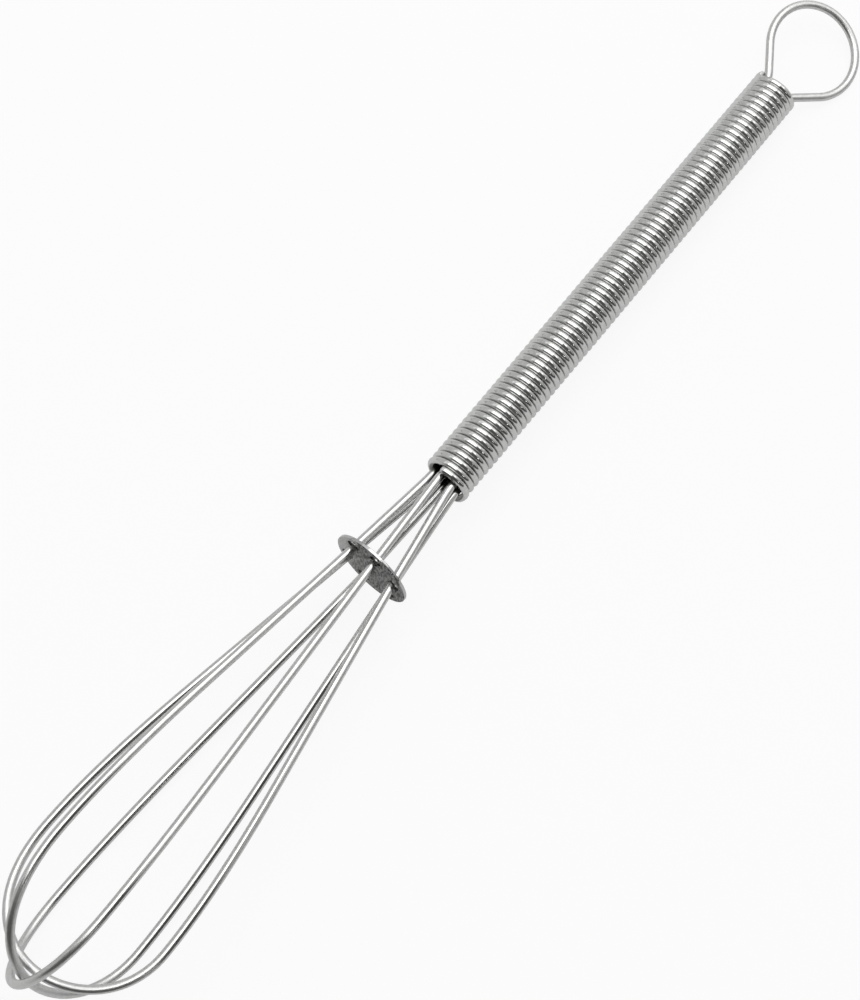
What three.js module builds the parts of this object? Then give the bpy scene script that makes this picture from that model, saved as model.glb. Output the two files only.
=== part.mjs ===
// A small wire whisk, lying as it is laid down on a table. Three nested beater loops cross at the tip, their
// six legs run through the holes of a spacer disc into a close-wound coil handle, and a hanging loop is
// gripped in the coil's other end. Millimetres, +Z up. The handle's axis points along +X, from the tip to the
// hanging loop. Places along the axis are counted from the coil's mouth, and angles about it from straight up
// towards +Y.
import * as THREE from 'three';

// Wire and fit
const WIRE = 1.2; // diameter of the wire of the beater loops and of the hanging loop
const CLEARANCE = 0.3; // between pieces that touch on the real whisk
const WIRE_SIDES = 8;

// Handle coil
const COIL_DIAMETER = 6.95; // outside
const COIL_PITCH = 1.024; // one turn lies against the next on the real coil
const COIL_TURNS = 72.9;
const TURN_GAP = 0.42; // kept between neighbouring turns, so the solid's wire is thinner than the pitch
const COIL_END_ANGLE = 16; // where the cut end of the wire lies at the mouth
const STEPS_PER_TURN = 8;
const COIL_SIDES = 5;

// Beater loops, from the outermost at the tip to the innermost
const TIP_REACH = 82.35; // from the coil's mouth to the outer loop's tip
const TIP_SKEW = 2.6; // how far a tip that is bent askew leads on its first leg's side
const BELLY_REACH = 68.8; // from the mouth to the belly, where the loops are widest
const HALF_WIDTH = 11.65; // from the axis to the middle of the wire at the belly
const SHOULDER_BACK = 24; // from the belly back to where a straight leg starts to bend in
const CORNER_BACK = 9.3; // from the belly back to where a straight leg would reach the belly's width
// a loop's width is its share of the half width, its skew that of the tip's skew, and a leg's reach that of
// the belly's reach, since the loops are bent by hand and none is quite like the next; the angles are at the
// belly and at the mouth
const LOOPS = [
  {
    name: 'outer_beater_loop',
    width: 1,
    skew: 0,
    legs: [
      { reach: 1.025, belly: -22, mouth: 27 },
      { reach: 1.029, belly: 151, mouth: 200 },
    ],
  },
  {
    name: 'middle_beater_loop',
    width: 1,
    skew: 1,
    legs: [
      { reach: 0.953, belly: 35, mouth: 81 },
      { reach: 1.01, belly: 217, mouth: 266 },
    ],
  },
  {
    name: 'inner_beater_loop',
    width: 0.948,
    skew: 1,
    legs: [
      { reach: 0.95, belly: 100.5, mouth: 136 },
      { reach: 0.996, belly: -89.5, mouth: -33 },
    ],
  },
];
const MOUTH_BEND = 2; // length of each half of the bend where a leg leaves the coil
const LOOP_STEPS = 120;

// Spacer disc
const DISC_REACH = 14.75; // from the mouth
const DISC_THICKNESS = 0.5;
const DISC_RIM = 0.8; // from the holes' edge to the disc's edge
const DISC_LEAN = -4; // it sits a little askew on the legs
const DISC_SEGMENTS = 24;
const HOLE_SEGMENTS = 8;

// Hanging loop
const HANG_RADIUS = 6.67; // to the middle of the wire
const HANG_SPLAY = 39.7; // between a leg and the loop's own middle line
const HANG_LEAN = 3; // between that line and the handle's axis
const HANG_STAND = 0.14; // from the coil's end to where the legs bend apart
const HANG_GRIP = 16; // length of the legs inside the coil
const HANG_BEND = 1.2; // length of each half of that bend
const HANG_ANGLE = -111; // the way its plane lies
const HANG_STEPS = 72;
const LEG_ENDS_GAP = 2; // between the ends of the beater's legs and of the hanging loop's, inside the coil

// Sizes that follow
const coilWire = COIL_PITCH - TURN_GAP;
const coilRadius = (COIL_DIAMETER - coilWire) / 2;
const coilStart = COIL_PITCH / 2;
const coilLength = (COIL_TURNS + 1) * COIL_PITCH;
const coilBore = coilRadius * Math.cos(Math.PI / STEPS_PER_TURN) - coilWire / 2;
const legCircle = coilBore - CLEARANCE - WIRE / 2;
const beaterGrip = coilLength - HANG_GRIP - LEG_ENDS_GAP;
const nestStep = WIRE + CLEARANCE;

const wireSteel = new THREE.MeshStandardMaterial({ color: 0xc8cbcd, metalness: 1, roughness: 0.18 });
const coilSteel = new THREE.MeshStandardMaterial({ color: 0xbdc0c2, metalness: 1, roughness: 0.22 });
const discSteel = new THREE.MeshStandardMaterial({ color: 0x8e9193, metalness: 1, roughness: 0.45 });

const radians = THREE.MathUtils.degToRad;

/** A point at a place along the axis, a distance from it and an angle about it. */
function around(x, radius, degrees) {
  const angle = radians(degrees);
  return new THREE.Vector3(x, radius * Math.sin(angle), radius * Math.cos(angle));
}

/** The point a given length from one point towards another. */
function towards(from, to, length) {
  return from.clone().add(to.clone().sub(from).setLength(length));
}

/** The point where the straight line through two points passes a place along the axis. */
function atReach(from, to, x) {
  return from.clone().lerp(to, (x - from.x) / (to.x - from.x));
}

/** A round wire along a curve. */
function wireAlong(curve, steps) {
  const section = new THREE.Shape().absarc(0, 0, WIRE / 2, 0, 2 * Math.PI);
  return new THREE.ExtrudeGeometry(section, { steps, extrudePath: curve, curveSegments: WIRE_SIDES / 2 });
}

/** The corner points of one leg, from its end inside the coil to the belly. */
function legPoints(loop, leg) {
  const radius = loop.width * HALF_WIDTH;
  const reach = leg.reach * BELLY_REACH;
  const end = around(beaterGrip, legCircle, leg.mouth);
  const mouth = around(0, legCircle, leg.mouth);
  const belly = around(-reach, radius, leg.belly);
  const corner = around(CORNER_BACK - reach, radius, leg.belly);
  const shoulder = atReach(mouth, corner, SHOULDER_BACK - reach);
  const bendIn = towards(mouth, end, MOUTH_BEND);
  const bendOut = towards(mouth, shoulder, MOUTH_BEND);
  return { end, bendIn, mouth, bendOut, shoulder, corner, belly };
}

const legsOf = (loop) => loop.legs.map((leg) => legPoints(loop, leg));

/** One beater loop: up one leg, round the tip and back along the other leg. */
function beaterCurve(loop, nest) {
  const [near, far] = legsOf(loop);
  // a cubic curve reaches three quarters of the way to its control points
  const tipDepth = TIP_REACH - nest * nestStep + (near.belly.x + far.belly.x) / 2;
  const lead = loop.skew * TIP_SKEW;
  const pulled = (belly, depth) => belly.clone().setX(belly.x - (depth * 4) / 3);
  const [nearPull, farPull] = [pulled(near.belly, tipDepth + lead), pulled(far.belly, tipDepth - lead)];
  const curve = new THREE.CurvePath();
  curve.add(new THREE.LineCurve3(near.end, near.bendIn));
  curve.add(new THREE.QuadraticBezierCurve3(near.bendIn, near.mouth, near.bendOut));
  curve.add(new THREE.LineCurve3(near.bendOut, near.shoulder));
  curve.add(new THREE.QuadraticBezierCurve3(near.shoulder, near.corner, near.belly));
  curve.add(new THREE.CubicBezierCurve3(near.belly, nearPull, farPull, far.belly));
  curve.add(new THREE.QuadraticBezierCurve3(far.belly, far.corner, far.shoulder));
  curve.add(new THREE.LineCurve3(far.shoulder, far.bendOut));
  curve.add(new THREE.QuadraticBezierCurve3(far.bendOut, far.mouth, far.bendIn));
  curve.add(new THREE.LineCurve3(far.bendIn, far.end));
  return curve;
}

function beaterLoop(loop, nest) {
  const mesh = new THREE.Mesh(wireAlong(beaterCurve(loop, nest), LOOP_STEPS), wireSteel);
  mesh.name = loop.name;
  return mesh;
}

/** The disc stands across the axis, with a hole wherever a straight leg passes through its middle plane. */
function spacerDisc() {
  const place = new THREE.Object3D();
  place.position.x = -DISC_REACH;
  place.rotation.set(0, Math.PI / 2, radians(DISC_LEAN), 'ZYX');
  place.updateMatrixWorld();
  const plane = new THREE.Plane(new THREE.Vector3(0, 0, 1), 0).applyMatrix4(place.matrixWorld);

  const holes = LOOPS.flatMap(legsOf).map((leg) => {
    const straight = new THREE.Line3(leg.bendOut, leg.shoulder);
    const slant = straight.delta(new THREE.Vector3()).angleTo(new THREE.Vector3(-1, 0, 0));
    const centre = place.worldToLocal(plane.intersectLine(straight, new THREE.Vector3()));
    const radius = WIRE / 2 / Math.cos(slant) + (DISC_THICKNESS / 2) * Math.tan(slant) + CLEARANCE;
    return { centre, radius };
  });

  const discRadius = Math.max(...holes.map((hole) => hole.centre.length() + hole.radius)) + DISC_RIM;
  const outline = new THREE.Shape().absarc(0, 0, discRadius, 0, 2 * Math.PI);
  for (const { centre, radius } of holes) {
    outline.holes.push(new THREE.Path().absarc(centre.x, centre.y, radius, 0, 2 * Math.PI, true));
  }
  // the outline and the holes are cut from one blank, each with its own number of sides
  const blank = new THREE.Shape(outline.getPoints(DISC_SEGMENTS).slice(0, -1));
  blank.holes = outline.holes.map((hole) => new THREE.Path(hole.getPoints(HOLE_SEGMENTS).slice(0, -1)));
  const geometry = new THREE.ExtrudeGeometry(blank, { depth: DISC_THICKNESS, bevelEnabled: false });
  geometry.translate(0, 0, -DISC_THICKNESS / 2);

  const mesh = new THREE.Mesh(geometry, discSteel);
  mesh.name = 'spacer_disc';
  mesh.position.copy(place.position);
  mesh.rotation.copy(place.rotation);
  return mesh;
}

/** The middle of the coil's wire at a number of steps from its cut end. The winding is right-handed. */
function coilCentre(step) {
  const turn = step / STEPS_PER_TURN;
  return around(coilStart + COIL_PITCH * turn, coilRadius, COIL_END_ANGLE - 360 * turn);
}

/** One unbroken wire, a ring of points at each step of the helix, with a flat cut at either end. */
function coilGeometry(steps) {
  const positions = [];
  const outward = new THREE.Vector3();
  for (let step = 0; step <= steps; step++) {
    const centre = coilCentre(step);
    outward.set(0, centre.y, centre.z).normalize();
    for (let side = 0; side < COIL_SIDES; side++) {
      const angle = (2 * Math.PI * side) / COIL_SIDES;
      const point = centre.clone().addScaledVector(outward, (coilWire / 2) * Math.cos(angle));
      point.x += (coilWire / 2) * Math.sin(angle);
      positions.push(point.x, point.y, point.z);
    }
  }
  const indices = [];
  for (let step = 0; step < steps; step++) {
    for (let side = 0; side < COIL_SIDES; side++) {
      const a = step * COIL_SIDES + side;
      const b = step * COIL_SIDES + ((side + 1) % COIL_SIDES);
      indices.push(a, a + COIL_SIDES, b, b, a + COIL_SIDES, b + COIL_SIDES);
    }
  }
  const last = steps * COIL_SIDES;
  for (let side = 1; side < COIL_SIDES - 1; side++) {
    indices.push(0, side, side + 1, last, last + side + 1, last + side);
  }
  const geometry = new THREE.BufferGeometry();
  geometry.setAttribute('position', new THREE.Float32BufferAttribute(positions, 3));
  geometry.setIndex(indices);
  geometry.computeVertexNormals();
  return geometry;
}

/** The least gap between the coil's turns, measured on points along its wire, at the steps and between. */
function leastTurnGap(steps) {
  const points = [];
  for (let step = 0; step < steps; step++) {
    points.push(coilCentre(step), coilCentre(step).lerp(coilCentre(step + 1), 0.5));
  }
  const halfTurn = STEPS_PER_TURN;
  let least = Infinity;
  for (let i = 0; i < points.length; i++) {
    for (let j = i + halfTurn; j < points.length; j++) {
      least = Math.min(least, points[i].distanceTo(points[j]) - coilWire);
    }
  }
  return least;
}

function handleCoil() {
  const steps = Math.round(COIL_TURNS * STEPS_PER_TURN);
  console.log(`handle_coil: least gap to itself ${leastTurnGap(steps).toFixed(3)} mm`);
  const mesh = new THREE.Mesh(coilGeometry(steps), coilSteel);
  mesh.name = 'handle_coil';
  return mesh;
}

/** A curve drawn flat, in the plane of the handle's axis and +Y. */
class FlatCurve extends THREE.Curve {
  constructor(path) {
    super();
    this.path = path;
  }

  getPoint(t, target = new THREE.Vector3()) {
    const point = this.path.getPointAt(t);
    return target.set(point.x, point.y, 0);
  }
}

/** A ring whose ends run straight down to the coil's rim, bend over it and are gripped in the bore. */
function hangLoop() {
  const splay = radians(HANG_SPLAY);
  const lean = radians(HANG_LEAN);
  const base = new THREE.Vector2(coilLength + HANG_STAND, 0);
  const leaned = (x, y) => new THREE.Vector2(base.x + x, y).rotateAround(base, lean);
  const ring = leaned((HANG_RADIUS - legCircle * Math.cos(splay)) / Math.sin(splay), 0);
  const [corner, farCorner] = [leaned(0, -legCircle), leaned(0, legCircle)];
  const bendX = HANG_BEND * Math.cos(splay);
  const bendY = legCircle + HANG_BEND * Math.sin(splay);
  const [bend, farBend] = [leaned(bendX, -bendY), leaned(bendX, bendY)];
  const gripEnd = coilLength - HANG_GRIP;

  const path = new THREE.Path();
  path.moveTo(gripEnd, -legCircle);
  path.lineTo(base.x - HANG_BEND, -legCircle);
  path.quadraticCurveTo(corner.x, corner.y, bend.x, bend.y);
  path.absarc(ring.x, ring.y, HANG_RADIUS, lean - Math.PI / 2 - splay, lean + Math.PI / 2 + splay, false);
  path.lineTo(farBend.x, farBend.y);
  path.quadraticCurveTo(farCorner.x, farCorner.y, base.x - HANG_BEND, legCircle);
  path.lineTo(gripEnd, legCircle);

  const mesh = new THREE.Mesh(wireAlong(new FlatCurve(path), HANG_STEPS), wireSteel);
  mesh.name = 'hang_loop';
  // +Y of the drawing turns to the loop's own side of the handle
  mesh.rotation.x = radians(90 - HANG_ANGLE);
  return mesh;
}

/** How far the handle slopes down from the belly, which lies on its lowest leg, to the coil's far end. */
function handleSlope() {
  const slopes = LOOPS.flatMap(legsOf).map(({ belly }) =>
    Math.atan2(WIRE / 2 - belly.z - COIL_DIAMETER / 2, coilLength - belly.x),
  );
  return Math.max(...slopes);
}

const whisk = new THREE.Group();
LOOPS.forEach((loop, nest) => whisk.add(beaterLoop(loop, nest)));
whisk.add(spacerDisc(), handleCoil(), hangLoop());
whisk.rotation.y = handleSlope();

// laid down on the table, with its middle over the origin
const extent = new THREE.Box3().setFromObject(whisk, true);
const middle = extent.getCenter(new THREE.Vector3());
whisk.position.set(-middle.x, -middle.y, -extent.min.z);

export default whisk;
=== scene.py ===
import math

import bmesh
import bpy
from mathutils import Matrix, Vector


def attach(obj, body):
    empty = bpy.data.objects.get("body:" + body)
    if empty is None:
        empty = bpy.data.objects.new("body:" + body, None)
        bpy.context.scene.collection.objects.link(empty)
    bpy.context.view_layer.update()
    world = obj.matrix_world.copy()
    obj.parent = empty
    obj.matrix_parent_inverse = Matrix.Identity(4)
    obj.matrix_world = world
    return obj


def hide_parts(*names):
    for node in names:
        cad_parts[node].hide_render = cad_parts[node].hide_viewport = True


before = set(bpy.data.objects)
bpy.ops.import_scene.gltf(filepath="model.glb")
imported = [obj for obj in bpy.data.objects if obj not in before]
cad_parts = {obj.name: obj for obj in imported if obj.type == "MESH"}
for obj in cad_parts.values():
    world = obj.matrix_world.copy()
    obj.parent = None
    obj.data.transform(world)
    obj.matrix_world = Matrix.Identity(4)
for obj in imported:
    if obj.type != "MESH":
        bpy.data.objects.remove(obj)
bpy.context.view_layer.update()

# The whisk is drawn in millimetres along its own handle, with its places counted from the coil's mouth towards
# the hanging loop and its angles from straight up towards +Y, and then laid down where the solids lie.
MM = 0.001
HANDLE_SLOPE = 0.0498963
HANDLE_PLACE = (-4.24726, 0.0930, 7.3597)
LAID_DOWN = Matrix.Scale(MM, 4) @ Matrix.Translation(HANDLE_PLACE) @ Matrix.Rotation(HANDLE_SLOPE, 4, "Y")

WIRE = 1.17
WIRE_SIDES = 24
CUT_BEVEL = 0.09  # on the cut ends of the wires
SHARP_EDGE = 50  # degrees between two faces

COIL_DIAMETER = 6.95
COIL_WIRE = 1.0
COIL_RADIUS = (COIL_DIAMETER - COIL_WIRE) / 2
COIL_PITCH = 1.024
COIL_START = 0.512
COIL_START_ANGLE = 16
COIL_END = 75.67
COIL_STEPS = 36  # in each turn
COIL_SIDES = 18
COIL_LENGTHS = 41  # the coil is wound in equal lengths that are joined end to end
LENGTH_STEPS = 64
JOIN = 0.001

# The winding isn't even: it drifts away from the mouth a little with each turn, and back in the last turns, and a
# part of its first turn springs towards the mouth and away from the axis.
DRIFT_START = 0.1
DRIFT_ON = 0.0092
DRIFT_BACK = 0.0185
DRIFT_BACK_TURN = 55
SPRING_ALONG, SPRING_ALONG_TURNS = 0.65, (0.27, 0.58)
SPRING_AWAY, SPRING_AWAY_TURNS = 0.13, (0.2, 0.6)

BELLY_REACH = 68.8
HALF_WIDTH = 11.65
SHOULDER_BACK = 24
CORNER_BACK = 9.3
LEG_CIRCLE = 1.73
GRIP_CIRCLE = 1.86  # the coil presses on the legs
LEG_END = 57.67
LEG_BEND = 2
TIP_SKEW = 2.6
HELD_FROM, HELD_TO = 0.2, COIL_END - 0.6  # where the coil holds the wires
# name, share of the half width, reach of the tip, share of the skew, then for each leg its share of the reach, its
# angle at the belly, the angle at the mouth that it points to as far as the disc, and the angle of its grip
LOOPS = (
    ("outer_beater_loop", 1, 82.25, 0, (1.025, -22, 27, 21), (1.029, 151, 200, 178)),
    ("middle_beater_loop", 1, 80.95, 1, (0.953, 35, 81, 81), (1.01, 217, 266, 264)),
    ("inner_beater_loop", 0.948, 79.5, 1, (0.95, 100.5, 136, 138), (0.996, -89.5, -33, -40)),
)

DISC_REACH = 14.75
DISC_RADIUS = 5.76
DISC_SIDES = 120
DISC_THICKNESS = 0.45
DISC_LEAN = -4
DISC_TILT = 1.5
DISC_BEVEL = 0.07
BEVEL_FROM = 1  # radians between the two faces of an edge
HOLE_RADIUS = 0.88
HOLE_SIDES = 36
HOLE_OUT = 0.27  # the legs rest on the inner sides of their holes
EDGE_FACE = 0.4  # faces that point less than this along the axis belong to the rim or a hole
RIM_BAND = 0.3

HANG_RADIUS = 6.67
HANG_SPLAY = 39.7
HANG_LEAN = 3
HANG_STAND = 0.14
HANG_GRIP = 16
HANG_BEND = 1.2
HANG_ANGLE = -111

# How far apart the points of the wires' lines stand
LEG_HELD_STEP, LEG_STRAIGHT_STEP = 6, 3
GRIP_STEP, DISC_STEP, BELLY_STEP, TIP_STEP = 0.4, 0.8, 0.6, 0.4
HANG_HELD_STEP, HANG_STRAIGHT_STEP, HANG_BEND_STEP = 4, 1, 0.2
HANG_RING_STEPS = 96
FEWEST_BEND_STEPS = 4
EVENED_POINTS = 6  # on each side of a point, when its bend is evened out

# Wire: the marks' names, how close they lie across and along it, and their detail; then which of their noise counts
MARKS = (
    ("Streak", (9, 9, 0.35), 3),
    ("Nick", (2.2, 2.2, 2.2), 4),
    ("Smudge", (0.5, 0.5, 0.16), 2),
)
NICKS, STREAKS, SMUDGES = (0.35, 0.65), (0.3, 0.7), (0.45, 0.75)
SMUDGE_ROUGH = 0.07
BENT, BENT_ROUGH = (0.02, 0.09), 0.22
CUT_ROUGH = 0.45
STREAK_BUMP = (0.03, 0.01 * MM)
# painted shade: the wires are painted dark where they run inside the coil
HELD_PAINTED_SHADE = (0.11, 0.11, 0.1)
# painted shade: the coil is painted darker between its turns, where its wire lies low in the groove
GROOVE, GROOVE_PAINTED_SHADE = (-0.05, 0.07), (0.22, 0.22, 0.21)

# Disc: its brushed grain, the side of its faces where light is painted on brighter, and its colours between the
# grain's dark and pale spots
GRAIN_STRETCH, GRAIN_DETAIL = (1.1, 3.4, 1), 3
MOTTLED, GRAINED = (0.4, 0.6), (0.3, 0.7)
# painted light: the faces are painted brighter towards one side of the disc, between these two places across it
PAINTED_LIGHT_SIDE = (2.4, 4.2)
SHEET_DULL = (0.065, 0.065, 0.063), (0.4, 0.4, 0.395)
# the faces' colours on their painted-light side
SHEET_PAINTED_LIGHT = (0.38, 0.38, 0.375), (0.52, 0.52, 0.515)
RIM_STEEL = (0.5, 0.5, 0.5)
# painted shade: the walls of the disc's holes are painted dark
HOLE_PAINTED_SHADE = (0.12, 0.12, 0.115)
SATIN_ROUGH = (0.36, 0.55)
RIM_ROUGH_SHARE = 0.4
GRAIN_BUMP = (0.35, 0.06 * MM)

# Studio, in metres
FLOOR_REACH = 3
PAPER = (0.7, 0.7, 0.7, 1)
FLOOR_SEEN = 0.9  # how white the floor is to the camera; the rest is paper, which keeps the shadow
FLOOR_MIRRORED = 0.15  # the steel shows the floor less white, as it does on the photograph
ROOM = (0.085, 0.088, 0.082, 1)
BACKDROP = (1, 1, 1, 1)
# name, place, the point it is turned to, size and watts
LAMPS = (
    ("overhead_box", (0.165, 0.06, 0.62), (0.165, 0, 0), (0.87, 0.48), 3.2),
    ("far_overhead_box", (0.8, 0.06, 0.62), (0.8, 0, 0), (0.4, 0.48), 0.8),
    ("side_overhead_box", (0.3, 0.41, 0.6), (0.3, 0, 0), (1.4, 0.26), 0.9),
    ("fore_box", (0.55, -0.31, 0.6), (0.55, 0, 0), (0.8, 0.24), 0.78),
    ("left_box", (0, 0.63, 0.3), (0, 0, 0), (2.2, 0.6), 2.3),
    ("right_box", (0.6, -0.55, 0.4), (0.6, 0, 0), (1.0, 0.7), 1.0),
    ("end_box", (1.0, 0, 0.3), (0, 0, 0), (1.2, 0.6), 1.75),
    ("small_lamp", (-0.175, -0.564, 0.367), (0, 0, 0), (0.06, 0.06), 0.1),
)

CAMERA_PLACE = Vector((-83.1563, -54.2137, 293.5543)) * MM
CAMERA_RIGHT = Vector((0.616662, -0.787088, 0.014847))
CAMERA_UP = Vector((0.745429, 0.589880, 0.310447))
CAMERA_LENS, CAMERA_SENSOR = 83.889, 36
CAMERA_NEAREST = 0.01


# Lines that the wires follow


def around(x, radius, degrees):
    """A point at a place along the handle, a distance from its axis and an angle about it."""
    turn = math.radians(degrees)
    return Vector((x, radius * math.sin(turn), radius * math.cos(turn)))


def straight(start, end, step):
    """Points along a straight stretch, without its end."""
    count = max(1, round((end - start).length / step))
    return [start.lerp(end, i / count) for i in range(count)]


def bend(*hold, step):
    """Points along a bend that its holding points pull, without its end."""
    length = sum((b - a).length for a, b in zip(hold, hold[1:]))
    count = max(FEWEST_BEND_STEPS, round(length / step))
    points = []
    for i in range(count):
        row = list(hold)
        while len(row) > 1:
            row = [a.lerp(b, i / count) for a, b in zip(row, row[1:])]
        points.append(row[0])
    return points


def leg_holds(width, leg):
    """The holding points of one leg, from its end in the coil past the disc to the belly."""
    reach, belly_angle, mouth_angle, grip_angle = leg
    reach *= BELLY_REACH
    end = around(LEG_END, GRIP_CIRCLE, grip_angle)
    grip = around(0, GRIP_CIRCLE, grip_angle)
    belly = around(-reach, width * HALF_WIDTH, belly_angle)
    corner = around(CORNER_BACK - reach, width * HALF_WIDTH, belly_angle)
    mouth = around(0, LEG_CIRCLE, mouth_angle)
    disc = mouth.lerp(corner, -DISC_REACH / corner.x)
    shoulder = mouth.lerp(corner, (SHOULDER_BACK - reach) / corner.x)
    return end, grip, disc, shoulder, corner, belly


def eased(before, point, after):
    """The holding points of a slight bend at a point between two others."""
    return (
        point + (before - point).normalized() * LEG_BEND,
        point,
        point + (after - point).normalized() * LEG_BEND,
    )


def leg_line(end, grip, disc, shoulder, corner, belly):
    """One leg, bent slightly where the coil grips it and at the disc, and round into the belly."""
    gripped, spread = eased(end, grip, disc), eased(grip, disc, shoulder)
    return [
        *straight(end, gripped[0], LEG_HELD_STEP),
        *bend(*gripped, step=GRIP_STEP),
        *straight(gripped[2], spread[0], LEG_STRAIGHT_STEP),
        *bend(*spread, step=DISC_STEP),
        *straight(spread[2], shoulder, LEG_STRAIGHT_STEP),
        *bend(shoulder, corner, belly, step=BELLY_STEP),
        belly,
    ]


def beater_line(width, reach, skew, near, far):
    """A beater loop: one leg, the tip, and the other leg back."""
    near_holds, far_holds = leg_holds(width, near), leg_holds(width, far)
    near_belly, far_belly = near_holds[-1], far_holds[-1]
    depth = reach + (near_belly.x + far_belly.x) / 2
    # a bend of four holding points goes three quarters of the way to the two in the middle
    near_pull = near_belly - Vector(((depth + skew * TIP_SKEW) * 4 / 3, 0, 0))
    far_pull = far_belly - Vector(((depth - skew * TIP_SKEW) * 4 / 3, 0, 0))
    tip = bend(near_belly, near_pull, far_pull, far_belly, step=TIP_STEP)
    return leg_line(*near_holds) + tip[1:] + leg_line(*far_holds)[::-1]


def hang_line():
    """The hanging loop, drawn flat and then turned to its own side of the handle."""
    splay, lean = math.radians(HANG_SPLAY), math.radians(HANG_LEAN)
    base = COIL_END + HANG_STAND
    leaned = Matrix.Translation((base, 0, 0)) @ Matrix.Rotation(lean, 4, "Z")
    middle = (HANG_RADIUS - LEG_CIRCLE * math.cos(splay)) / math.sin(splay)
    sweep = math.pi / 2 + splay
    legs = []
    for side in (-1, 1):
        end = Vector((COIL_END - HANG_GRIP, side * LEG_CIRCLE, 0))
        bend_in = Vector((base - HANG_BEND, side * LEG_CIRCLE, 0))
        corner = leaned @ Vector((0, side * LEG_CIRCLE, 0))
        out = Vector((math.cos(splay), side * math.sin(splay), 0)) * HANG_BEND
        bend_out = leaned @ (Vector((0, side * LEG_CIRCLE, 0)) + out)
        touch_angle = side * sweep
        touch = Vector((middle, 0, 0)) + HANG_RADIUS * Vector((math.cos(touch_angle), math.sin(touch_angle), 0))
        legs.append(
            straight(end, bend_in, HANG_HELD_STEP)
            + bend(bend_in, corner, bend_out, step=HANG_BEND_STEP)
            + straight(bend_out, leaned @ touch, HANG_STRAIGHT_STEP)
        )
    ring = []
    for i in range(HANG_RING_STEPS + 1):
        angle = -sweep + 2 * sweep * i / HANG_RING_STEPS
        ring.append(leaned @ Vector((middle + HANG_RADIUS * math.cos(angle), HANG_RADIUS * math.sin(angle), 0)))
    turned = Matrix.Rotation(math.radians(90 - HANG_ANGLE), 4, "X")
    return [turned @ point for point in legs[0] + ring + legs[1][::-1]]


# Meshes


def frames_along(line):
    """A place and a turn for the wire's section at each point of its line, with no twist between them."""
    ahead = [(b - a).normalized() for a, b in zip(line, line[1:])]
    ways = [ahead[0]] + [(a + b).normalized() for a, b in zip(ahead, ahead[1:])] + [ahead[-1]]
    side = ways[0].orthogonal().normalized()
    frames = []
    for i, way in enumerate(ways):
        if i:
            side = ways[i - 1].rotation_difference(way) @ side
        section = Matrix((side, way.cross(side), way)).transposed().to_4x4()
        section.translation = line[i]
        frames.append(section)
    return frames


def bends_along(line):
    """How sharply a line bends at each of its points, evened out along it."""
    ahead = [b - a for a, b in zip(line, line[1:])]
    sharp = [0.0] + [2 * a.angle(b) / (a.length + b.length) for a, b in zip(ahead, ahead[1:])] + [0.0]
    near = [sharp[max(0, i - EVENED_POINTS) : i + EVENED_POINTS + 1] for i in range(len(sharp))]
    return [sum(values) / len(values) for values in near]


def close_ends(bm):
    """Caps the two cut ends of a wire, marks them as cut, and takes the edge off them."""
    cut = bm.faces.layers.float.new("cut")
    rings = [edge for edge in bm.edges if edge.is_boundary]
    for cap in bmesh.ops.edgeloop_fill(bm, edges=rings)["faces"]:
        cap[cut] = 1
    bmesh.ops.bevel(
        bm,
        geom=rings,
        offset=CUT_BEVEL,
        offset_type="OFFSET",
        segments=2,
        profile=0.5,
        affect="EDGES",
        material=-1,
    )
    bmesh.ops.recalc_face_normals(bm, faces=bm.faces)


def drawn_wire(line):
    """A round wire drawn along a line; each point remembers its place in the section and along the wire, how
    sharply it is bent, and whether the coil holds it."""
    bm = bmesh.new()
    drawn = bm.verts.layers.float_vector.new("drawn")
    bent = bm.verts.layers.float.new("bent")
    frames = frames_along(line)
    bends = bends_along(line)
    bmesh.ops.create_circle(bm, segments=WIRE_SIDES, radius=WIRE / 2, matrix=frames[0])
    ring = bm.edges[:]
    fresh = bm.verts[:]
    along = 0.0
    for i, section in enumerate(frames):
        if i:
            made = bmesh.ops.extrude_edge_only(bm, edges=ring)["geom"]
            fresh = [item for item in made if isinstance(item, bmesh.types.BMVert)]
            bmesh.ops.transform(bm, matrix=section @ frames[i - 1].inverted(), verts=fresh)
            new = set(fresh)
            ring = [item for item in made if isinstance(item, bmesh.types.BMEdge) and new.issuperset(item.verts)]
            along += (line[i] - line[i - 1]).length
        back = section.inverted()
        for vert in fresh:
            place = back @ vert.co
            vert[drawn] = (place.x, place.y, along)
            vert[bent] = bends[i]
    held = bm.verts.layers.float.new("held")
    for vert in bm.verts:
        vert[held] = HELD_FROM < vert.co.x < HELD_TO
    close_ends(bm)
    return bm


def hump(value, start, end):
    """Rises from nothing to one and back between two values."""
    share = min(max((value - start) / (end - start), 0), 1)
    return math.sin(math.pi * share) ** 2


def sprung(turn):
    """How far the coil's wire stands from an even winding, along the handle and away from its axis."""
    drift = DRIFT_START + DRIFT_ON * min(turn, DRIFT_BACK_TURN) - DRIFT_BACK * max(turn - DRIFT_BACK_TURN, 0)
    return drift - SPRING_ALONG * hump(turn, *SPRING_ALONG_TURNS), SPRING_AWAY * hump(turn, *SPRING_AWAY_TURNS)


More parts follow.
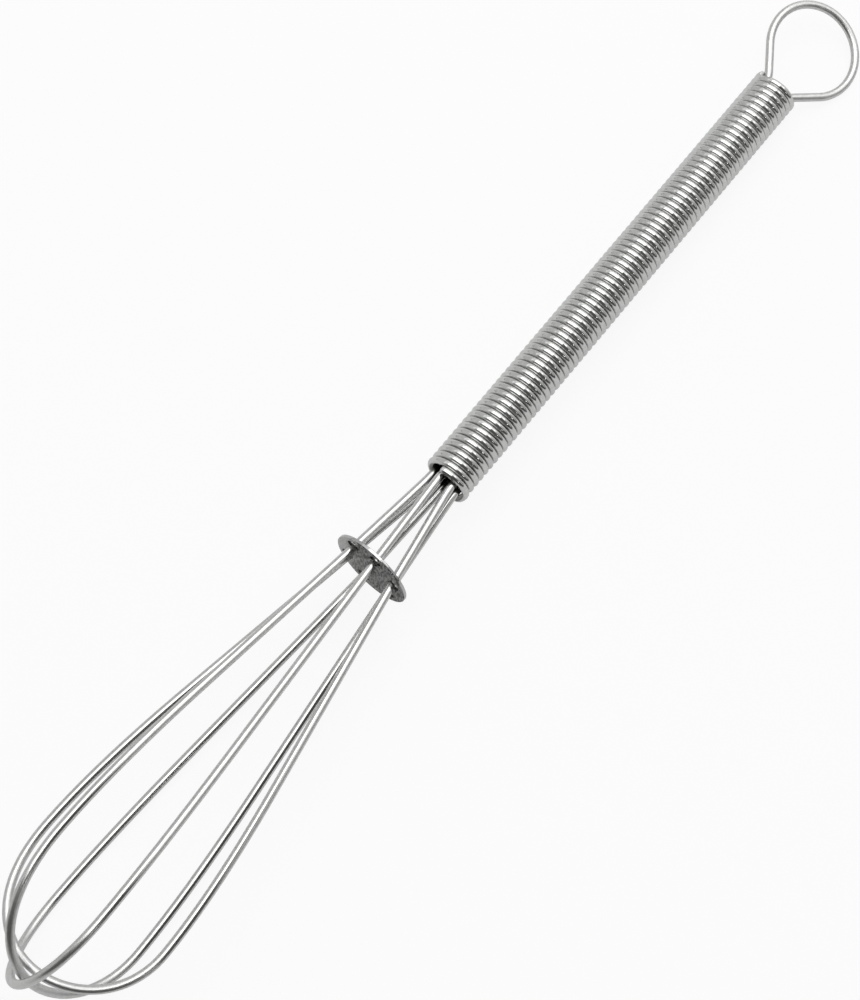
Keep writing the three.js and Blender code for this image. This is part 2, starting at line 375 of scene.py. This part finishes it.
def wound_coil():
    """The handle: one wire wound turn against turn."""
    start = around(COIL_START, COIL_RADIUS, COIL_START_ANGLE)
    outward = Vector((0, start.y, start.z)).normalized()
    along_handle = Vector((1, 0, 0))
    section = Matrix((along_handle, outward, along_handle.cross(outward))).transposed().to_4x4()
    section.translation = start
    wound = bmesh.new()
    bmesh.ops.create_circle(wound, segments=COIL_SIDES, radius=COIL_WIRE / 2, matrix=section)
    bmesh.ops.spin(
        wound,
        geom=wound.verts[:] + wound.edges[:],
        cent=(0, 0, 0),
        axis=(1, 0, 0),
        dvec=(COIL_PITCH / COIL_STEPS, 0, 0),
        angle=math.tau * LENGTH_STEPS / COIL_STEPS,
        steps=LENGTH_STEPS,
        use_merge=False,
        use_normal_flip=False,
        use_duplicate=False,
    )
    length = bpy.data.meshes.new("coil_length")
    wound.to_mesh(length)
    wound.free()

    bm = bmesh.new()
    for i in range(COIL_LENGTHS):
        turns = i * LENGTH_STEPS / COIL_STEPS
        screwed = Matrix.Translation((turns * COIL_PITCH, 0, 0)) @ Matrix.Rotation(math.tau * turns, 4, "X")
        count = len(bm.verts)
        bm.from_mesh(length)
        bm.verts.ensure_lookup_table()
        bmesh.ops.transform(bm, matrix=screwed, verts=bm.verts[count:])
    bpy.data.meshes.remove(length)
    bmesh.ops.remove_doubles(bm, verts=bm.verts, dist=JOIN)

    drawn = bm.verts.layers.float_vector.new("drawn")
    turn_length = math.hypot(math.tau * COIL_RADIUS, COIL_PITCH)
    for vert in bm.verts:
        angle = math.degrees(math.atan2(vert.co.y, vert.co.z))
        part = (COIL_START_ANGLE - angle) / 360 % 1
        turn = part + round((vert.co.x - COIL_START) / COIL_PITCH - part)
        lift = math.hypot(vert.co.y, vert.co.z) - COIL_RADIUS
        vert[drawn] = (vert.co.x - COIL_START - COIL_PITCH * turn, lift, turn * turn_length)
        along, away = sprung(turn)
        vert.co.x += along
        vert.co.yz *= 1 + away / (COIL_RADIUS + lift)
    close_ends(bm)
    return bm


def pierced_disc():
    """The spacer disc: stamped from sheet, with a hole wherever a leg passes through it."""
    place = (
        Matrix.Translation((-DISC_REACH, 0, 0))
        @ Matrix.Rotation(math.radians(DISC_LEAN), 4, "Z")
        @ Matrix.Rotation(math.radians(90 + DISC_TILT), 4, "Y")
    )
    flat = place.inverted()
    bm = bmesh.new()
    bmesh.ops.create_circle(bm, segments=DISC_SIDES, radius=DISC_RADIUS)
    for _, width, _, _, *legs in LOOPS:
        for leg in legs:
            _, grip, disc, shoulder, _, _ = leg_holds(width, leg)
            above, _, below = (flat @ point for point in eased(grip, disc, shoulder))
            centre = above.lerp(below, above.z / (above.z - below.z))
            centre *= 1 + HOLE_OUT / centre.length
            bmesh.ops.create_circle(bm, segments=HOLE_SIDES, radius=HOLE_RADIUS, matrix=Matrix.Translation(centre))
    bmesh.ops.triangle_fill(bm, use_beauty=True, use_dissolve=False, edges=bm.edges[:])
    bmesh.ops.translate(bm, vec=(0, 0, -DISC_THICKNESS / 2), verts=bm.verts[:])
    raised = bmesh.ops.extrude_face_region(bm, geom=bm.faces[:])["geom"]
    lifted = [item for item in raised if isinstance(item, bmesh.types.BMVert)]
    bmesh.ops.translate(bm, vec=(0, 0, DISC_THICKNESS), verts=lifted)
    bmesh.ops.recalc_face_normals(bm, faces=bm.faces)
    bmesh.ops.bevel(
        bm,
        geom=[edge for edge in bm.edges if edge.calc_face_angle(0) > BEVEL_FROM],
        offset=DISC_BEVEL,
        offset_type="OFFSET",
        segments=3,
        profile=0.5,
        affect="EDGES",
        material=-1,
    )
    drawn = bm.verts.layers.float_vector.new("drawn")
    for vert in bm.verts:
        vert[drawn] = vert.co
    rim, bore = bm.faces.layers.float.new("rim"), bm.faces.layers.float.new("bore")
    for face in bm.faces:
        if abs(face.normal.z) < EDGE_FACE:
            outer = face.calc_center_median().to_2d().length > DISC_RADIUS - RIM_BAND
            face[rim], face[bore] = outer, not outer
    bmesh.ops.transform(bm, matrix=place, verts=bm.verts)
    return bm


def finished(node, bm, material):
    """Lays a piece down where its solid lies, gives it its finish, and lets it stand for that solid."""
    bmesh.ops.transform(bm, matrix=LAID_DOWN, verts=bm.verts)
    mesh = bpy.data.meshes.new(node + "_look")
    for face in bm.faces:
        face.smooth = True
    bm.to_mesh(mesh)
    bm.free()
    mesh.set_sharp_from_angle(angle=math.radians(SHARP_EDGE))
    mesh.materials.append(material)
    piece = bpy.data.objects.new(node + "_look", mesh)
    bpy.context.scene.collection.objects.link(piece)
    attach(piece, "root")
    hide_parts(node)


# Finishes


def stretched_noise(tree, place, stretch, detail):
    """Noise that lies closer along some of a place's directions than along others."""
    scaled = tree.nodes.new("ShaderNodeVectorMath")
    scaled.operation = "MULTIPLY"
    scaled.inputs[1].default_value = stretch
    noise = tree.nodes.new("ShaderNodeTexNoise")
    noise.inputs["Scale"].default_value = 1
    noise.inputs["Detail"].default_value = detail
    tree.links.new(place, scaled.inputs[0])
    tree.links.new(scaled.outputs["Vector"], noise.inputs["Vector"])
    return noise.outputs["Fac"]


def drawn_streaks_group():
    """What drawing and handling leave on a wire: fine lines along it, small nicks across them, and dull smudges."""
    group = bpy.data.node_groups.new("drawn_streaks", "ShaderNodeTree")
    group.interface.new_socket("Place", in_out="INPUT", socket_type="NodeSocketVector")
    entry, leave = group.nodes.new("NodeGroupInput"), group.nodes.new("NodeGroupOutput")
    for name, stretch, detail in MARKS:
        group.interface.new_socket(name, in_out="OUTPUT", socket_type="NodeSocketFloat")
        group.links.new(stretched_noise(group, entry.outputs["Place"], stretch, detail), leave.inputs[name])
    return group


def attribute(tree, name, output):
    """A value that the mesh carries."""
    node = tree.nodes.new("ShaderNodeAttribute")
    node.attribute_name = name
    return node.outputs[output]


def ranged(tree, value, start, end, low, high):
    """A value between start and end, turned into one between low and high."""
    node = tree.nodes.new("ShaderNodeMapRange")
    for name, setting in zip(("From Min", "From Max", "To Min", "To Max"), (start, end, low, high)):
        node.inputs[name].default_value = setting
    tree.links.new(value, node.inputs["Value"])
    return node.outputs["Result"]


def part_of(tree, place, axis):
    """How far a place lies along one axis."""
    node = tree.nodes.new("ShaderNodeSeparateXYZ")
    tree.links.new(place, node.inputs["Vector"])
    return node.outputs[axis]


def sums(tree, operation, first, second):
    """Two varying values worked together."""
    node = tree.nodes.new("ShaderNodeMath")
    node.operation = operation
    tree.links.new(first, node.inputs[0])
    tree.links.new(second, node.inputs[1])
    return node.outputs["Value"]


def mixed(tree, factor, first, second):
    """A colour between two others; each is written as a colour or comes from a node."""
    node = tree.nodes.new("ShaderNodeMix")
    node.data_type = "RGBA"
    tree.links.new(factor, node.inputs["Factor"])
    for name, colour in (("A", first), ("B", second)):
        if isinstance(colour, tuple):
            node.inputs[name].default_value = (*colour, 1)
        else:
            tree.links.new(colour, node.inputs[name])
    return node.outputs["Result"]


def bumped(tree, height, strength, distance):
    """A surface that follows a height."""
    node = tree.nodes.new("ShaderNodeBump")
    node.inputs["Strength"].default_value = strength
    node.inputs["Distance"].default_value = distance
    tree.links.new(height, node.inputs["Height"])
    return node.outputs["Normal"]


def steel(name):
    """A bare metal, with its node tree and its shader."""
    material = bpy.data.materials.new(name)
    material.use_nodes = True
    tree = material.node_tree
    shader = tree.nodes["Principled BSDF"]
    shader.inputs["Metallic"].default_value = 1
    return material, tree, shader


def wire_finish(name, streaks, dull, bright, smooth, rough, wound):
    """Bright drawn stainless wire: shade is painted dark between the turns of a wound one and where the coil holds
    another, and bends are duller."""
    material, tree, shader = steel(name)
    place = attribute(tree, "drawn", "Vector")
    marks = tree.nodes.new("ShaderNodeGroup")
    marks.node_tree = streaks
    tree.links.new(place, marks.inputs["Place"])
    tint = mixed(tree, ranged(tree, marks.outputs["Nick"], *NICKS, 0, 1), dull, bright)
    drawn_rough = ranged(tree, marks.outputs["Streak"], *STREAKS, smooth, rough)
    worn = sums(tree, "ADD", drawn_rough, ranged(tree, marks.outputs["Smudge"], *SMUDGES, 0, SMUDGE_ROUGH))
    if wound:
        # painted shade darkens the coil between its turns
        tint = mixed(tree, ranged(tree, part_of(tree, place, "Y"), *GROOVE, 0, 1), GROOVE_PAINTED_SHADE, tint)
    else:
        # painted shade darkens the wires where the coil holds them
        tint = mixed(tree, attribute(tree, "held", "Fac"), tint, HELD_PAINTED_SHADE)
        worn = sums(tree, "ADD", worn, ranged(tree, attribute(tree, "bent", "Fac"), *BENT, 0, BENT_ROUGH))
    sheared = ranged(tree, attribute(tree, "cut", "Fac"), 0, 1, 0, CUT_ROUGH)
    tree.links.new(tint, shader.inputs["Base Color"])
    tree.links.new(sums(tree, "MAXIMUM", worn, sheared), shader.inputs["Roughness"])
    tree.links.new(bumped(tree, marks.outputs["Streak"], *STREAK_BUMP), shader.inputs["Normal"])
    return material


def disc_finish(name):
    """Satin stamped sheet: brushed faces, painted brighter towards one side by painted light, a polished rim and
    holes darkened by painted shade.
    """
    material, tree, shader = steel(name)
    place = attribute(tree, "drawn", "Vector")
    grain = stretched_noise(tree, place, GRAIN_STRETCH, GRAIN_DETAIL)
    mottle = ranged(tree, grain, *MOTTLED, 0, 1)
    # painted light: the faces grow brighter towards one side of the disc
    painted_lit_share = ranged(tree, part_of(tree, place, "Y"), *PAINTED_LIGHT_SIDE, 0, 1)
    faces = mixed(tree, painted_lit_share, mixed(tree, mottle, *SHEET_DULL), mixed(tree, mottle, *SHEET_PAINTED_LIGHT))
    rim = attribute(tree, "rim", "Fac")
    # painted shade darkens the walls of the holes
    tint = mixed(tree, attribute(tree, "bore", "Fac"), mixed(tree, rim, faces, RIM_STEEL), HOLE_PAINTED_SHADE)
    satin = ranged(tree, grain, *GRAINED, *SATIN_ROUGH)
    polish = ranged(tree, rim, 0, 1, 1, RIM_ROUGH_SHARE)
    tree.links.new(tint, shader.inputs["Base Color"])
    tree.links.new(sums(tree, "MULTIPLY", satin, polish), shader.inputs["Roughness"])
    tree.links.new(bumped(tree, grain, *GRAIN_BUMP), shader.inputs["Normal"])
    return material


# The studio


def seen_straight(tree, path):
    """One for what the camera sees, also through glass, and nothing for any other light."""
    return sums(tree, "MAXIMUM", path.outputs["Is Camera Ray"], path.outputs["Is Transmission Ray"])


def pale_floor():
    """A white floor that keeps a soft shadow."""
    bm = bmesh.new()
    bmesh.ops.create_grid(bm, x_segments=1, y_segments=1, size=FLOOR_REACH)
    mesh = bpy.data.meshes.new("floor")
    bm.to_mesh(mesh)
    bm.free()
    floor = bpy.data.objects.new("floor", mesh)
    bpy.context.scene.collection.objects.link(floor)
    material = bpy.data.materials.new("pale_floor")
    material.use_nodes = True
    tree = material.node_tree
    tree.nodes.remove(tree.nodes["Principled BSDF"])
    paper = tree.nodes.new("ShaderNodeBsdfDiffuse")
    paper.inputs["Color"].default_value = PAPER
    glow = tree.nodes.new("ShaderNodeEmission")
    glow.inputs["Strength"].default_value = 1
    path = tree.nodes.new("ShaderNodeLightPath")
    seen = ranged(tree, seen_straight(tree, path), 0, 1, 0, FLOOR_SEEN)
    mirrored = ranged(tree, path.outputs["Is Glossy Ray"], 0, 1, 0, FLOOR_MIRRORED)
    mix = tree.nodes.new("ShaderNodeMixShader")
    tree.links.new(sums(tree, "MAXIMUM", seen, mirrored), mix.inputs["Fac"])
    tree.links.new(paper.outputs["BSDF"], mix.inputs[1])
    tree.links.new(glow.outputs["Emission"], mix.inputs[2])
    tree.links.new(mix.outputs["Shader"], tree.nodes["Material Output"].inputs["Surface"])
    mesh.materials.append(material)


def soft_light(name, place, aim, size, watts):
    """A lamp with a wide face, turned to a point."""
    light = bpy.data.lights.new(name, "AREA")
    light.shape = "RECTANGLE"
    light.size, light.size_y = size
    light.energy = watts
    lamp = bpy.data.objects.new(name, light)
    bpy.context.scene.collection.objects.link(lamp)
    lamp.location = place
    lamp.rotation_euler = (Vector(aim) - Vector(place)).to_track_quat("-Z", "Y").to_euler()


def studio():
    """Soft lights in a dim room, which the steel shows, before a white backdrop, which only the camera sees."""
    world = bpy.data.worlds.new("studio")
    bpy.context.scene.world = world
    world.use_nodes = True
    tree = world.node_tree
    room = tree.nodes["Background"]
    room.inputs["Color"].default_value = ROOM
    backdrop = tree.nodes.new("ShaderNodeBackground")
    backdrop.inputs["Color"].default_value = BACKDROP
    path = tree.nodes.new("ShaderNodeLightPath")
    mix = tree.nodes.new("ShaderNodeMixShader")
    tree.links.new(seen_straight(tree, path), mix.inputs["Fac"])
    tree.links.new(room.outputs["Background"], mix.inputs[1])
    tree.links.new(backdrop.outputs["Background"], mix.inputs[2])
    tree.links.new(mix.outputs["Shader"], tree.nodes["World Output"].inputs["Surface"])
    for lamp in LAMPS:
        soft_light(*lamp)


def photo_camera():
    """The camera stands where the photograph was taken from."""
    view = bpy.data.cameras.new("photo_camera")
    view.sensor_width = CAMERA_SENSOR
    view.lens = CAMERA_LENS
    view.clip_start = CAMERA_NEAREST
    camera = bpy.data.objects.new("photo_camera", view)
    bpy.context.scene.collection.objects.link(camera)
    stand = Matrix((CAMERA_RIGHT, CAMERA_UP, CAMERA_RIGHT.cross(CAMERA_UP))).transposed().to_4x4()
    stand.translation = CAMERA_PLACE
    camera.matrix_world = stand
    bpy.context.scene.camera = camera


photo_camera()
studio()
pale_floor()

streaks = drawn_streaks_group()
wire_steel = wire_finish(
    "wire_steel",
    streaks,
    dull=(0.57, 0.57, 0.565),
    bright=(0.64, 0.64, 0.635),
    smooth=0.08,
    rough=0.13,
    wound=False,
)
coil_steel = wire_finish(
    "coil_steel",
    streaks,
    dull=(0.58, 0.582, 0.575),
    bright=(0.66, 0.662, 0.655),
    smooth=0.1,
    rough=0.16,
    wound=True,
)
disc_steel = disc_finish("disc_steel")

for name, width, reach, skew, near, far in LOOPS:
    finished(name, drawn_wire(beater_line(width, reach, skew, near, far)), wire_steel)
finished("hang_loop", drawn_wire(hang_line()), wire_steel)
finished("handle_coil", wound_coil(), coil_steel)
finished("spacer_disc", pierced_disc(), disc_steel)

bpy.context.scene.view_settings.view_transform = "Standard"
